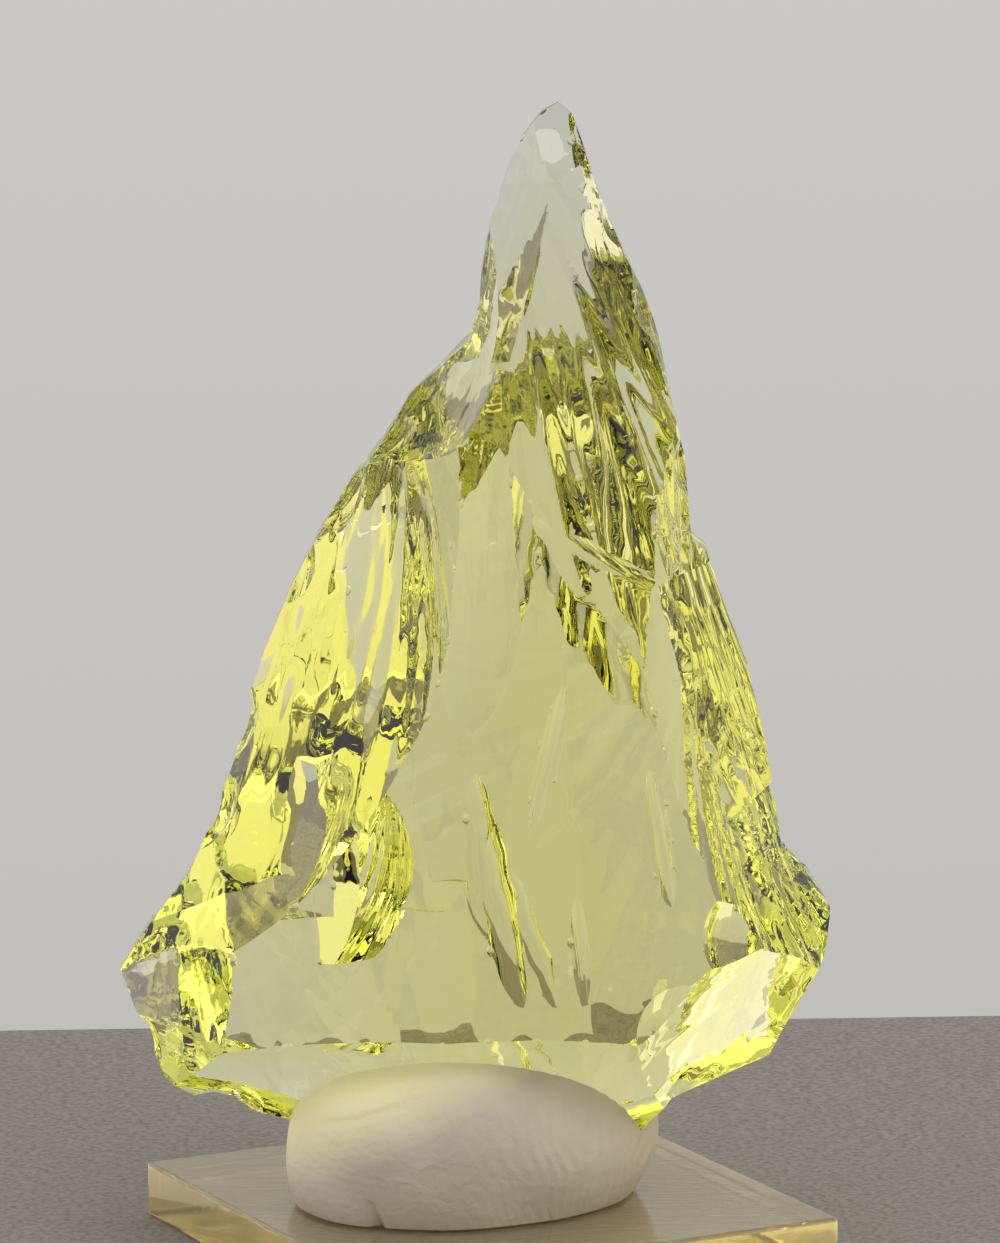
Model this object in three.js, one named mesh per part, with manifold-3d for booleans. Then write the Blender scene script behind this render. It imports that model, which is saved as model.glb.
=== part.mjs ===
// A raw piece of clear yellow-green glass crystal that stands on its lower edge
// in a lump of white putty, which is pressed onto a square block of clear acrylic.
// Millimetres, +Z up, the broad fracture face of the crystal towards -Y.
// The origin is the middle of the block's underside.

import * as THREE from "three";
import { mergeVertices } from "three/addons/utils/BufferGeometryUtils.js";
import Module from "manifold-3d";

const wasm = await Module();
wasm.setup();

// Driving dimensions
const BLOCK_SIDE = 50.8;
const BLOCK_THICKNESS = 5.5;
const BLOCK_BEVEL = 0.4;
const BLOCK_TURN = THREE.MathUtils.degToRad(27.7);
const GAP = 0.3;
const PUTTY_SIZE = new THREE.Vector3(38, 29.5, 26.6);
const PUTTY_MIDDLE = new THREE.Vector3(-1.6, -1.8, 11.5);
const PUTTY_TILT = THREE.MathUtils.degToRad(5);
const PUTTY_TURN = THREE.MathUtils.degToRad(27);
const PUTTY_SQUARENESS = 2.05;
const PUTTY_UNEVENNESS = 0.02;
const ROUGH_DEPTH = 44;
const HEART = new THREE.Vector3(2, 0, 50);

// The unevenness of the fracture faces: the length of a swell, and for the fan of hackle the
// ridges to a radian, the distance over which they wander, and where they reach full height
const SWELL_LENGTH = 9;
const RIDGES_PER_RADIAN = 16;
const RIDGE_WANDER = 50;
const RIDGE_START = 15;
const FLAKE_STRETCH = [1, 0.9, 1.1];

// How finely the shapes are drawn
const CELL = 3;
const FEWEST_CELLS = 18;
const FACE_REACH = 75;
const FLAKE_DETAIL = 5;
const PUTTY_SEGMENTS = [32, 20];
const SMALLEST_EDGE = 0.1;
const SAME_POINT = 1e-4;

// The crystal's outline seen from the front, as [x, z], anticlockwise from its left corner
const OUTLINE = [
  [-36.0, 28.6], [-34.6, 25.3], [-31.5, 19.5], [-27.7, 16.7], [-19.9, 13.9], [-12, 9],
  [12, 9], [18.0, 16.6], [23.1, 18.2], [27.7, 19.8], [28.8, 22.2], [31.7, 27.9],
  [33.1, 30.6], [33.6, 34.2], [31.0, 38.2], [28.8, 40.4], [28.3, 44.2], [27.3, 50.3],
  [25.4, 58.2], [23.0, 64.4], [21.3, 69.9], [19.8, 71.1], [19.1, 79.3], [17.7, 85.3],
  [16.4, 91.6], [15.4, 94.4], [12.2, 101.2], [10.3, 106.0], [9.3, 109.2], [8.2, 112.2],
  [6.8, 113.3], [5.2, 112.5], [3.3, 110.1], [1.9, 106.6], [0.2, 101.5], [-0.6, 97.0],
  [-0.8, 93.6], [-1.6, 90.3], [-4.8, 87.1], [-7.6, 84.6], [-10.0, 80.6], [-13.4, 76.2],
  [-16.4, 71.2], [-19.4, 65.2], [-21.9, 59.3], [-23.4, 55.0], [-24.7, 49.3], [-27.2, 42.4],
  [-29.3, 38.2], [-31.8, 34.9], [-33.9, 32.0],
];

// Each fracture face goes through three points. It is hollow to one radius along the line
// from its first point to its second, and to another across it. Swell is a slow unevenness.
// Hackle is a fan of fine ridges that spreads from the spot where the face was struck.
const FACES = [
  {
    name: "broad front",
    through: [[0.7, -12, 80], [-24.5, -14, 32.8], [14.5, -15, 23.8]],
    hollow: [1500, 1200], swell: 0.1, struck: [26, -14, 64], hackle: 0.04,
  },
  {
    name: "front flake",
    through: [[-1, -11.5, 76], [-3.5, -12.7, 57], [2, -12, 66]],
    hollow: [150, 10], swell: 0.05, struck: [0, -12, 80], hackle: 0.05, reach: [16, 8],
  },
  {
    name: "left flank",
    through: [[-2.6, -12, 79], [-24.5, -14, 32.8], [-21.9, 3, 59.3]],
    hollow: [60, 140], swell: 0.1, struck: [-6, -4, 90], hackle: 0.18,
  },
  {
    name: "spire left",
    through: [[6.9, -1.5, 111.2], [5.7, -8, 94.5], [0.4, -1.4, 99]],
    hollow: [260, 300], swell: 0.06, struck: [7, -2, 112], hackle: 0.03, reach: [14, 30],
  },
  {
    name: "shoulder",
    through: [[-1.5, 1, 90.6], [-9.5, 2.5, 82.5], [-0.5, -9.5, 85.5]],
    hollow: [16, 40], swell: 0.1, struck: [-12, 0, 90], hackle: 0.12,
  },
  {
    name: "spire right",
    through: [[6.9, -1.5, 111.2], [0.7, -12, 80.1], [11.4, -12.8, 64.5]],
    hollow: [300, 150], swell: 0.25, struck: [2, -10, 116], hackle: 0.35,
  },
  {
    name: "right edge",
    through: [[13.2, 1.5, 101.4], [19.9, 1, 80], [17, -4.4, 87]],
    hollow: [400, 40], swell: 0.15, struck: [10, 0, 106], hackle: 0.3,
  },
  {
    name: "scar",
    through: [[6.5, -11.4, 73.3], [22.6, -7.9, 65.2], [14.9, -9.35, 70]],
    hollow: [140, 1.6], swell: 0, struck: [2, -12, 80], hackle: 0, reach: [12, 4],
  },
  {
    name: "olive facet",
    through: [[18.5, -2.5, 67], [22.8, -3.6, 54], [24.4, 2, 60.5]],
    hollow: [200, 220], swell: 0.04, struck: [24, -4, 70], hackle: 0.03, reach: [8, 7],
  },
  {
    name: "right skirt",
    through: [[17.5, -12.8, 52], [24.5, -12, 36], [25.6, 0.5, 56]],
    hollow: [120, 100], swell: 0.15, struck: [22, -8, 62], hackle: 0.3,
  },
  {
    name: "right corner top",
    through: [[28.8, -1, 40.4], [33.5, -2, 34.6], [27.4, -10, 37.4]],
    hollow: [60, 60], swell: 0.05, struck: [29, 0, 42], hackle: 0.15, reach: [9, 12],
  },
  {
    name: "right corner low",
    through: [[33.6, -2, 34.2], [30.8, -8.4, 29.6], [28, -12, 34.8]],
    hollow: [16, 24], swell: 0.05, struck: [35, -2, 36], hackle: 0.12,
  },
  {
    name: "low right",
    through: [[14.5, -15, 23.8], [26, -13, 33.3], [30.6, -4, 25.6]],
    hollow: [38, 30], swell: 0.12, struck: [34, -2, 34], hackle: 0.15,
  },
  {
    name: "low middle",
    through: [[-4.6, -15, 24.2], [14.5, -15, 23.8], [4, -5, 14]],
    hollow: [120, 70], swell: 0.05, struck: [20, -8, 14], hackle: 0.04,
  },
  {
    name: "low left",
    through: [[-25.3, -15, 23.3], [-4.6, -15, 24.2], [-19.9, -4.5, 13.9]],
    hollow: [120, 60], swell: 0.05, struck: [-30, -8, 14], hackle: 0.03,
  },
  {
    name: "left corner top",
    through: [[-29.3, -3.5, 38.2], [-24.5, -14, 32.8], [-35, -5, 27.6]],
    hollow: [200, 200], swell: 0.04, struck: [-36, 0, 34], hackle: 0.03,
  },
  {
    name: "left corner low",
    through: [[-35.2, -4, 27.2], [-24.5, -14.2, 32.2], [-25.3, -15, 23.3]],
    hollow: [40, 50], swell: 0.05, struck: [-32, -6, 36], hackle: 0.08,
  },
  {
    name: "tip front",
    through: [[3.6, -0.8, 109.8], [9, -0.4, 108.8], [6.9, 1.6, 113]],
    hollow: [14, 14], swell: 0.04, struck: [7, 2, 115], hackle: 0.1,
  },
  {
    name: "broad back",
    through: [[0, 18.5, 75], [-20, 12.6, 25], [22, 17.6, 25]],
    hollow: [1500, 1500], swell: 0.1, struck: [6, 14, 90], hackle: 0.04,
  },
  {
    name: "lower left back",
    through: [[-3, 15.7, 45], [-1, 14.8, 24], [-21, 6.7, 27]],
    hollow: [500, 500], swell: 0.06, struck: [-8, 12, 56], hackle: 0.05,
  },
  {
    name: "left back",
    through: [[-7, 14.3, 75], [-7, 12, 40], [-23.4, 2.6, 55]],
    hollow: [400, 400], swell: 0.04, struck: [-12, 8, 90], hackle: 0.05, reach: [24, 25],
  },
  {
    name: "middle back",
    through: [[-6, 13.4, 75], [-6, 12.6, 40], [9, 19.6, 57]],
    hollow: [400, 400], swell: 0.03, struck: [-6, 12, 92], hackle: 0.03, reach: [22, 11],
  },
  {
    name: "left back corner",
    through: [[-28.5, 3.5, 40], [-35.5, -1.6, 28.5], [-17, 8, 30]],
    hollow: [500, 500], swell: 0.03, struck: [-30, 2, 44], hackle: 0.03,
  },
  {
    name: "lower notch",
    through: [[-10, 9.5, 44], [-10, 9.5, 31], [-7, 12.8, 36]],
    hollow: [14, 16], swell: 0.1, struck: [-8, 12, 52], hackle: 0.15, reach: [9, 7],
  },
  {
    name: "upper petal",
    through: [[-3.3, 15.4, 46], [-1.8, 15.2, 32], [1.2, 16.4, 38]],
    hollow: [40, 1.2], swell: 0, struck: [-4, 13, 50], hackle: 0, reach: [13, 3.4],
  },
  {
    name: "middle petal",
    through: [[-2.4, 15.4, 40], [1.2, 15.6, 24], [3.2, 16.4, 33]],
    hollow: [45, 1.2], swell: 0, struck: [-4, 13, 50], hackle: 0, reach: [15, 3.4],
  },
  {
    name: "lower petal",
    through: [[0.6, 16.4, 37], [5.4, 15.8, 23], [5.8, 16.9, 31]],
    hollow: [60, 1.2], swell: 0, struck: [-4, 13, 50], hackle: 0, reach: [14, 3.4],
  },
  {
    name: "right back",
    through: [[4, 17.8, 73], [9, 18.7, 54], [19.5, 2.8, 82]],
    hollow: [300, 300], swell: 0.2, struck: [10, 8, 100], hackle: 0.35,
  },
  {
    name: "right back low",
    through: [[8, 18, 64], [9.5, 16.6, 38], [18, 12.9, 50]],
    hollow: [1200, 300], swell: 0.08, struck: [24, 4, 70], hackle: 0.1,
  },
  {
    name: "right side back",
    through: [[22, 11.2, 60], [23, 11, 40], [28.5, 2.5, 54]],
    hollow: [200, 200], swell: 0.15, struck: [24, 4, 70], hackle: 0.2, reach: [14, 10],
  },
  {
    name: "right corner back",
    through: [[24, 11.5, 42], [34, 1.5, 33.6], [21, 14, 24]],
    hollow: [150, 150], swell: 0.08, struck: [36, 2, 40], hackle: 0.08,
  },
  {
    name: "spire right back",
    through: [[13, 2, 100], [6.5, 8, 100], [17, 4.5, 84]],
    hollow: [200, 200], swell: 0.1, struck: [8, 4, 114], hackle: 0.2,
  },
  {
    name: "shoulder back",
    through: [[-2, 7.5, 91], [-12, 5, 78], [-2, 14, 78]],
    hollow: [60, 60], swell: 0.15, struck: [-4, 8, 94], hackle: 0.2,
  },
  {
    name: "tip back",
    through: [[6.8, 3.1, 113.2], [4.5, 9.6, 86], [-2.5, 5.2, 98]],
    hollow: [123, 200], swell: 0.03, struck: [7, 3, 115], hackle: 0.03, reach: [14.6, 5],
  },
  {
    name: "under left",
    through: [[-34, -1.5, 23.5], [-12, 9, 13], [-19, 11, 20]],
    hollow: [60, 60], swell: 0.06, struck: [-20, 4, 8], hackle: 0.05,
  },
  {
    name: "under back",
    through: [[-10, 12.5, 15.5], [16, 14, 15.5], [2, 2, 9.5]],
    hollow: [200, 200], swell: 0.03, struck: [0, 10, 10], hackle: 0.02,
  },
  {
    name: "under right",
    through: [[30, -1, 21], [19, 10, 20.5], [18, -4, 15.2]],
    hollow: [60, 60], swell: 0.06, struck: [26, 2, 14], hackle: 0.06,
  },
];

// Small flakes that came off the crystal's edges: where, how wide a ball left the hollow,
// how deep, and which way it faced
const FLAKES = [
  { at: [-9, 1, 82], ball: 5, depth: 0.9, facing: [-0.6, -0.6, 0.5] },
  { at: [-6, 0, 86], ball: 4, depth: 0.7, facing: [-0.6, -0.5, 0.6] },
  { at: [-13.5, 2, 76], ball: 6, depth: 0.8, facing: [-0.8, -0.5, 0.3] },
  { at: [-18, 2.5, 68], ball: 7, depth: 0.8, facing: [-0.9, -0.4, 0.2] },
  { at: [-23.5, 2, 54], ball: 6, depth: 0.7, facing: [-0.9, -0.4, 0.1] },
  { at: [-26, 0, 45], ball: 5, depth: 0.6, facing: [-0.8, -0.6, 0.2] },
  { at: [0.5, -2, 101], ball: 4, depth: 0.5, facing: [-0.8, -0.5, 0.1] },
  { at: [4.2, 0, 111], ball: 3, depth: 0.6, facing: [-0.6, -0.6, 0.5] },
  { at: [8.8, 0.5, 110.5], ball: 2.5, depth: 0.5, facing: [0.8, -0.4, 0.4] },
  { at: [11.5, 0, 102.5], ball: 3.5, depth: 0.5, facing: [0.9, -0.3, 0.2] },
  { at: [15.2, -1, 94], ball: 4, depth: 0.6, facing: [0.8, -0.5, 0.2] },
  { at: [19.2, -2, 79], ball: 4, depth: 0.6, facing: [0.8, -0.6, 0] },
  { at: [27.2, -2, 50], ball: 4.5, depth: 0.6, facing: [0.8, -0.6, 0] },
  { at: [32.8, -2, 36], ball: 3.5, depth: 0.6, facing: [0.6, -0.6, 0.5] },
  { at: [24, -12, 34], ball: 5, depth: 0.6, facing: [0.3, -0.9, 0.1] },
  { at: [18, -13.5, 27], ball: 6, depth: 0.6, facing: [0.2, -0.9, -0.4] },
  { at: [-33, -3, 22], ball: 4, depth: 0.6, facing: [-0.6, -0.6, -0.5] },
  { at: [-24.5, -6, 16], ball: 5, depth: 0.7, facing: [-0.2, -0.7, -0.7] },
  { at: [6.6, -13, 54], ball: 7, depth: 0.45, facing: [0.2, -1, 0] },
  { at: [-3.5, -13.4, 58], ball: 4, depth: 0.6, facing: [-0.4, -0.9, 0] },
];

// A smooth wave between -1 and 1 that doesn't repeat over the size of the crystal.
function unevenness(x, y, phase) {
  const waves = [
    Math.sin(1.7 * x + 2.3 * y + phase),
    Math.sin(2.9 * x - 1.1 * y + 2.1 * phase),
    Math.sin(-0.8 * x + 3.7 * y + 1.3 * phase),
    Math.sin(4.1 * x + 0.9 * y + 0.7 * phase),
  ];
  return waves.reduce((sum, wave) => sum + wave, 0) / waves.length;
}

// A closed three.js geometry as a solid that can be cut and joined.
function solidOf(geometry) {
  const bare = geometry.clone();
  bare.deleteAttribute("normal");
  bare.deleteAttribute("uv");
  const merged = mergeVertices(bare, SAME_POINT);
  const vertProperties = new Float32Array(merged.attributes.position.array);
  const triVerts = new Uint32Array(merged.index.array);
  return new wasm.Manifold(new wasm.Mesh({ numProp: 3, vertProperties, triVerts }));
}

// A solid as a three.js geometry with flat facets.
function geometryOf(solid) {
  const mesh = solid.getMesh();
  const geometry = new THREE.BufferGeometry();
  geometry.setAttribute("position", new THREE.BufferAttribute(mesh.vertProperties, 3));
  geometry.setIndex(new THREE.BufferAttribute(mesh.triVerts, 1));
  const flat = geometry.toNonIndexed();
  flat.computeVertexNormals();
  return flat;
}

// A face's own axes: along from its first point to its second, across, and out of the crystal.
function axesOf(face) {
  const [a, b, c] = face.through.map((point) => new THREE.Vector3(...point));
  const middle = a.clone().add(b).add(c).divideScalar(3);
  const along = b.clone().sub(a).normalize();
  const out = along.clone().cross(c.clone().sub(a)).normalize();
  if (out.dot(middle.clone().sub(HEART)) < 0) out.negate();
  const across = out.clone().cross(along);
  return { middle, along, across, out };
}

// The face's height above the plane of its three points, as a function of a place on it.
function heightOf(face, axes, phase) {
  const flatten = (point) => {
    const from = new THREE.Vector3(...point).sub(axes.middle);
    return [from.dot(axes.along), from.dot(axes.across)];
  };
  const [a, b, c] = face.through.map(flatten);
  const dish = ([u, v]) => u ** 2 / (2 * face.hollow[0]) + v ** 2 / (2 * face.hollow[1]);
  const slopeU = (dish(b) - dish(a)) / (b[0] - a[0]);
  const slopeV = (dish(c) - dish(a) - slopeU * (c[0] - a[0])) / (c[1] - a[1]);
  const struck = flatten(face.struck);
  return (u, v) => {
    const bowl = dish([u, v]) - dish(a) - slopeU * (u - a[0]) - slopeV * (v - a[1]);
    const away = Math.hypot(u - struck[0], v - struck[1]);
    const turn = Math.atan2(v - struck[1], u - struck[0]);
    const fan = unevenness(RIDGES_PER_RADIAN * turn, away / RIDGE_WANDER, phase);
    const ridges = face.hackle * fan * Math.min(1, away / RIDGE_START);
    const swell = face.swell * unevenness(u / SWELL_LENGTH, v / SWELL_LENGTH, phase);
    return Math.min(bowl + swell + ridges, FACE_REACH);
  };
}

// Everything outside one fracture face, as the solid to take away.
function outsideOf(face, index, ease) {
  const axes = axesOf(face);
  const height = heightOf(face, axes, index + 1);
  const reach = face.reach ?? [FACE_REACH, FACE_REACH];
  const cells = reach.map((r) => Math.max(FEWEST_CELLS, Math.round((2 * r) / CELL)));
  const tool = new THREE.BoxGeometry(2 * reach[0], 2 * reach[1], 2, cells[0], cells[1], 1);
  const places = tool.attributes.position;
  for (let i = 0; i < places.count; i++) {
    const inner = places.getZ(i) < 0;
    places.setZ(i, inner ? height(places.getX(i), places.getY(i)) + ease : 2 * FACE_REACH);
  }
  const placed = new THREE.Matrix4().makeBasis(axes.along, axes.across, axes.out);
  placed.setPosition(axes.middle);
  return solidOf(tool.applyMatrix4(placed));
}

// The ball that a small flake's hollow is part of.
function flakeBall({ at, ball, depth, facing }) {
  const out = new THREE.Vector3(...facing).normalize();
  const place = new THREE.Vector3(...at).addScaledVector(out, ball - depth);
  const shape = new THREE.IcosahedronGeometry(ball, FLAKE_DETAIL);
  shape.scale(...FLAKE_STRETCH);
  return solidOf(shape.translate(place.x, place.y, place.z));
}

// The rough block: the outline carried straight back through the crystal's whole depth.
function roughBlock() {
  const outline = new THREE.Shape(OUTLINE.map(([x, z]) => new THREE.Vector2(x, z)));
  const block = new THREE.ExtrudeGeometry(outline, { depth: ROUGH_DEPTH, bevelEnabled: false });
  block.rotateX(Math.PI / 2);
  block.translate(0, ROUGH_DEPTH / 2, 0);
  return solidOf(block);
}

// The crystal, or with some ease the space that it needs round it.
function crystalSolid(ease) {
  const cut = (solid, face, i) => solid.subtract(outsideOf(face, i, ease));
  return FACES.reduce(cut, roughBlock());
}

function crystal() {
  const glass = new THREE.MeshStandardMaterial({ color: 0xd9dd6a, roughness: 0.03, metalness: 0 });
  glass.transparent = true;
  glass.opacity = 0.6;
  const chip = (solid, flake) => solid.subtract(flakeBall(flake));
  const chipped = FLAKES.reduce(chip, crystalSolid(0));
  const mesh = new THREE.Mesh(geometryOf(chipped.simplify(SMALLEST_EDGE)), glass);
  mesh.name = "crystal";
  return mesh;
}

// The lump of putty: a ball squeezed a little square and uneven, flat underneath, with the
// crystal's foot pressed into it.
function putty() {
  const white = new THREE.MeshStandardMaterial({ color: 0xc4bcac, roughness: 0.75, metalness: 0 });
  const lump = new THREE.SphereGeometry(1, ...PUTTY_SEGMENTS);
  const places = lump.attributes.position;
  const place = new THREE.Vector3();
  for (let i = 0; i < places.count; i++) {
    place.fromBufferAttribute(places, i);
    const powers = place.toArray().map((part) => Math.abs(part) ** PUTTY_SQUARENESS);
    const size = (powers[0] + powers[1] + powers[2]) ** (-1 / PUTTY_SQUARENESS);
    const kneaded = 1 + PUTTY_UNEVENNESS * unevenness(place.x + 2 * place.z, place.y - place.z, 3);
    places.setXYZ(i, ...place.multiplyScalar(size * kneaded));
  }
  lump.scale(PUTTY_SIZE.x / 2, PUTTY_SIZE.y / 2, PUTTY_SIZE.z / 2);
  lump.rotateY(-PUTTY_TILT);
  lump.rotateZ(PUTTY_TURN);
  lump.translate(PUTTY_MIDDLE.x, PUTTY_MIDDLE.y, PUTTY_MIDDLE.z);
  const below = new THREE.BoxGeometry(2 * FACE_REACH, 2 * FACE_REACH, FACE_REACH);
  below.translate(0, 0, BLOCK_THICKNESS + GAP - FACE_REACH / 2);
  const pressed = solidOf(lump).subtract(solidOf(below)).subtract(crystalSolid(GAP));
  const mesh = new THREE.Mesh(geometryOf(pressed.simplify(SMALLEST_EDGE)), white);
  mesh.name = "putty";
  return mesh;
}

// The square block, with polished narrow bevels along its edges.
function block() {
  const acrylic = new THREE.MeshStandardMaterial({ color: 0xd8cc9c, roughness: 0.05, metalness: 0 });
  acrylic.transparent = true;
  acrylic.opacity = 0.7;
  const half = BLOCK_SIDE / 2 - BLOCK_BEVEL;
  const square = new THREE.Shape();
  square.moveTo(-half, -half).lineTo(half, -half).lineTo(half, half).lineTo(-half, half);
  const slab = new THREE.ExtrudeGeometry(square, {
    depth: BLOCK_THICKNESS - 2 * BLOCK_BEVEL,
    bevelSize: BLOCK_BEVEL,
    bevelThickness: BLOCK_BEVEL,
    bevelSegments: 1,
  });
  slab.translate(0, 0, BLOCK_BEVEL);
  const mesh = new THREE.Mesh(geometryOf(solidOf(slab)), acrylic);
  mesh.name = "acrylic_base";
  mesh.rotation.z = BLOCK_TURN;
  return mesh;
}

const part = new THREE.Group();
part.add(crystal(), putty(), block());

export default part;
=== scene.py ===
# Looks for the raw glass crystal on its putty and acrylic block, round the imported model.
# Metres, +Z up. Sizes that repeat the solid's own are written in millimetres and scaled by MM.

import math

import bmesh
import bpy
import numpy as np
from mathutils import Matrix, Vector

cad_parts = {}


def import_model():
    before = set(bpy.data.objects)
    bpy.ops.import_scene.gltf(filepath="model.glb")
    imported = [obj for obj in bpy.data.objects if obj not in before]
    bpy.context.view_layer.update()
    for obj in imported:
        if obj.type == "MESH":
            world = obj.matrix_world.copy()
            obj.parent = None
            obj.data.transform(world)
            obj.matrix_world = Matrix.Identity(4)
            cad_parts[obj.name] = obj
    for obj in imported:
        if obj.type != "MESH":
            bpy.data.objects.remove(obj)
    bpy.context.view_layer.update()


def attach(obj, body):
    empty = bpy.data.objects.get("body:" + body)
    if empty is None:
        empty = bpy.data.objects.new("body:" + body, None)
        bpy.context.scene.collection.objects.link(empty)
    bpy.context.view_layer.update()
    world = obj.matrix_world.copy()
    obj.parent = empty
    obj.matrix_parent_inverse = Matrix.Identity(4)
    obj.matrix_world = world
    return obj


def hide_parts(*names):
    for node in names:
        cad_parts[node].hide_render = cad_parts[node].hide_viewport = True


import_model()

MM = 0.001

# The photograph's camera, in millimetres, with the lens for a 36 mm sensor
EYE = Vector((1.2, -688.3, 190.3)) * MM
LOOKS_AT = Vector((1.2, 0, 62.7)) * MM
LENS = 207.7
SENSOR = 36

# The square block
BLOCK_SIDE = 50.8
BLOCK_THICKNESS = 5.5
BLOCK_BEVEL = 0.4
BLOCK_BEVEL_STEPS = 3
BLOCK_TURN = math.radians(27.7)

# The lump of putty, and the room left round the crystal's foot
GAP = 0.3
PUTTY_SIZE = np.array((38, 29.5, 26.6))
PUTTY_MIDDLE = np.array((-1.6, -1.8, 11.5))
PUTTY_TILT = math.radians(5)
PUTTY_TURN = math.radians(27)
PUTTY_SQUARENESS = 2.05
PUTTY_DETAIL = 7
FOOT_FACES = (
    "broad front", "low right", "low middle", "low left", "left corner low", "broad back",
    "lower left back", "left back corner", "under left", "under back", "under right",
)

# The marks of kneading, as shares of the lump's half size: how deep, how wide and where
PUTTY_UNEVENNESS = 0.02
DENTS = 0.014
SKIN = 0.0016
FOLD_DEPTH = 0.024
FOLD_WIDTH = 0.02
FOLD_HEIGHT = 0.85
FOLD_SLOPE = 0.5
CREASE_DEPTH = 0.075
CREASE_WIDTH = 0.02
CREASE_PLACE = -0.84
CREASE_LEAN = -0.2
FINGER_DEPTH = 0.0034
FINGER_RIDGES = 95
FINGER_CENTRE = (0.1, -1.1)

# The rough crystal's depth, a place well inside it, and the angle from which its edges are sharp
ROUGH_DEPTH = 44
HEART = np.array((2.0, 0.0, 50.0))
SHARP_ANGLE = math.radians(28)

# The tools that cut the faces: how fine their surface is, how wide they are, and how far they rise
CELL = 0.55
FEWEST_CELLS = 60
FACE_REACH = 75
APEX = 1500
WIDE_SQUARE = (
    (-FACE_REACH, -FACE_REACH), (FACE_REACH, -FACE_REACH),
    (FACE_REACH, FACE_REACH), (-FACE_REACH, FACE_REACH),
)

# A fracture face's swell, and its hackle ridges that fan out from the blow
SWELL_LENGTH = 9
RIDGES_PER_RADIAN = 16
RIDGE_WANDER = 50
RIDGE_START = 15

# The marks that only the scene draws: streaks and hairs along the ridges, ripples and a grain
WANDER_LENGTH = 5
STREAKS_PER_RADIAN = 46
STREAK_LENGTH = 9
STREAK_BEND = 0.9
STREAK_SHARE = 0.22
HAIRS_PER_RADIAN = 120
HAIR_LENGTH = 4
HAIR_BEND = 1.5
HAIR_SHARE = 0.06
PATCH_LENGTH = 6
RIPPLE_HEIGHT = 0.012
RIPPLES_PER_MM = 2.2
RIPPLE_FADE = 30
GRAIN_HEIGHT = 0.004
GRAIN_LENGTH = 1.1

# Flakes, and small chips along the sharp edges: radii, and depths as a share of the radius
FLAKE_STRETCH = (1, 0.9, 1.1)
FLAKE_DETAIL = 5
CHIP_SEED = 11
CHIP_TRIES = 300
CHIP_SPACING = 2.6
CHIPPED_ANGLE = math.radians(48)
CHIPPED_LENGTH = 0.02
CHIPS_ABOVE = 16
CHIP_RADII = (0.35, 0.95)
CHIP_DEPTHS = (0.15, 0.4)
CHIP_DETAIL = 3

# Clear materials: IOR, and what they absorb, with colours linear here and below
CRYSTAL_IOR = 1.5
CRYSTAL_DENSITY = 29
CRYSTAL_TINT = (0.945, 0.961, 0.045)
ACRYLIC_IOR = 1.49
ACRYLIC_DENSITY = 32
ACRYLIC_TINT = (0.96, 0.87, 0.3)
ACRYLIC_HAZE = (0.98, 0.9, 0.68)
ACRYLIC_CLEARNESS = 0.85

# The putty's colours, and a painted yellow light from the crystal: along which way, and how far in metres,
# it grows towards the crystal
PUTTY_COLOUR = (0.61, 0.56, 0.475)
PUTTY_DULL = (0.44, 0.395, 0.335)
PUTTY_PAINTED_CRYSTAL_LIGHT = (0.96, 0.91, 0.56)
PUTTY_PAINTED_SEAT_LIGHT = (0.95, 0.94, 0.88)
PUTTY_LIT_FROM = (-0.5, 0, 1)
PUTTY_PAINTED_LIGHT_BEGINS = 0.0175
PUTTY_PAINTED_LIGHT_FULL = 0.0255

# Painted light in the foot's hollow, the putty there painted lighter as if lit through the crystal: its
# share of the way out from the lump's middle
SEAT_BEGINS = 0.95
SEAT_IS_FULL = 0.88

# The table top, in metres
FLOOR_COLOUR = (0.285, 0.255, 0.236)
FLOOR_THREADS = (0.185, 0.166, 0.156)
FLOOR_Z = -0.0001
FLOOR_NEAR = -0.9
FLOOR_FAR = 0.092
FLOOR_HALF_WIDTH = 0.9
FLOOR_TURN = math.radians(3.6)

# The room's colour at each sine of the height that one looks up
ROOM = (
    (-0.25, (0.53, 0.51, 0.49)),
    (-0.09, (0.61, 0.585, 0.565)),
    (0.2, (0.62, 0.6, 0.58)),
    (0.6, (0.5, 0.5, 0.5)),
    (1.0, (0.9, 0.9, 0.9)),
)

# Soft lights: name, place, the point that each faces, its two sizes, and its brightness
RIGHT_LIGHT = (0.88, 0.81, 0.52)
LEFT_LIGHT = (0.92, 0.88, 0.8)
BACK_LIGHT = (0.45, 0.43, 0.36)
TOP_LIGHT = (4.4, 4.2, 4.1)
WATTS_PER_RADIANCE = 2.5
LIGHTS = (
    ("right side", (0.85, -0.125, 0.4), (0, -0.125, 0.4), (2, 0.8), RIGHT_LIGHT),
    ("right card", (0.4435, -0.43, 0.001), (0.4435, -0.43, 1), (0.813, 0.94), RIGHT_LIGHT),
    ("left side", (-0.85, 0, 0.4), (0, 0, 0.4), (1.75, 0.8), LEFT_LIGHT),
    ("left card", (-0.4435, -0.43, 0.001), (-0.4435, -0.43, 1), (0.813, 0.94), LEFT_LIGHT),
    ("back left", (-0.62, 0.78, 0.25), (0, 0, 0.25), (0.5, 0.6), BACK_LIGHT),
    ("overhead", (0.25, -0.3, 0.7), (0, 0, 0.05), (0.3, 0.3), TOP_LIGHT),
)


class Face:
    """A fracture face through three points, hollow along the line of the first two and across it."""

    def __init__(self, name, through, hollow, swell, struck, hackle, reach=None):
        self.name = name
        self.through = [np.array(point, float) for point in through]
        self.hollow = hollow
        self.swell = swell
        self.struck = np.array(struck, float)
        self.hackle = hackle
        self.reach = reach


class Flake:
    """A small flake's hollow on an edge, left by a ball."""

    def __init__(self, at, ball, depth, facing):
        self.ball = ball
        out = Vector(facing).normalized()
        self.middle = Vector(at) + out * (ball - depth)


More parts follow.
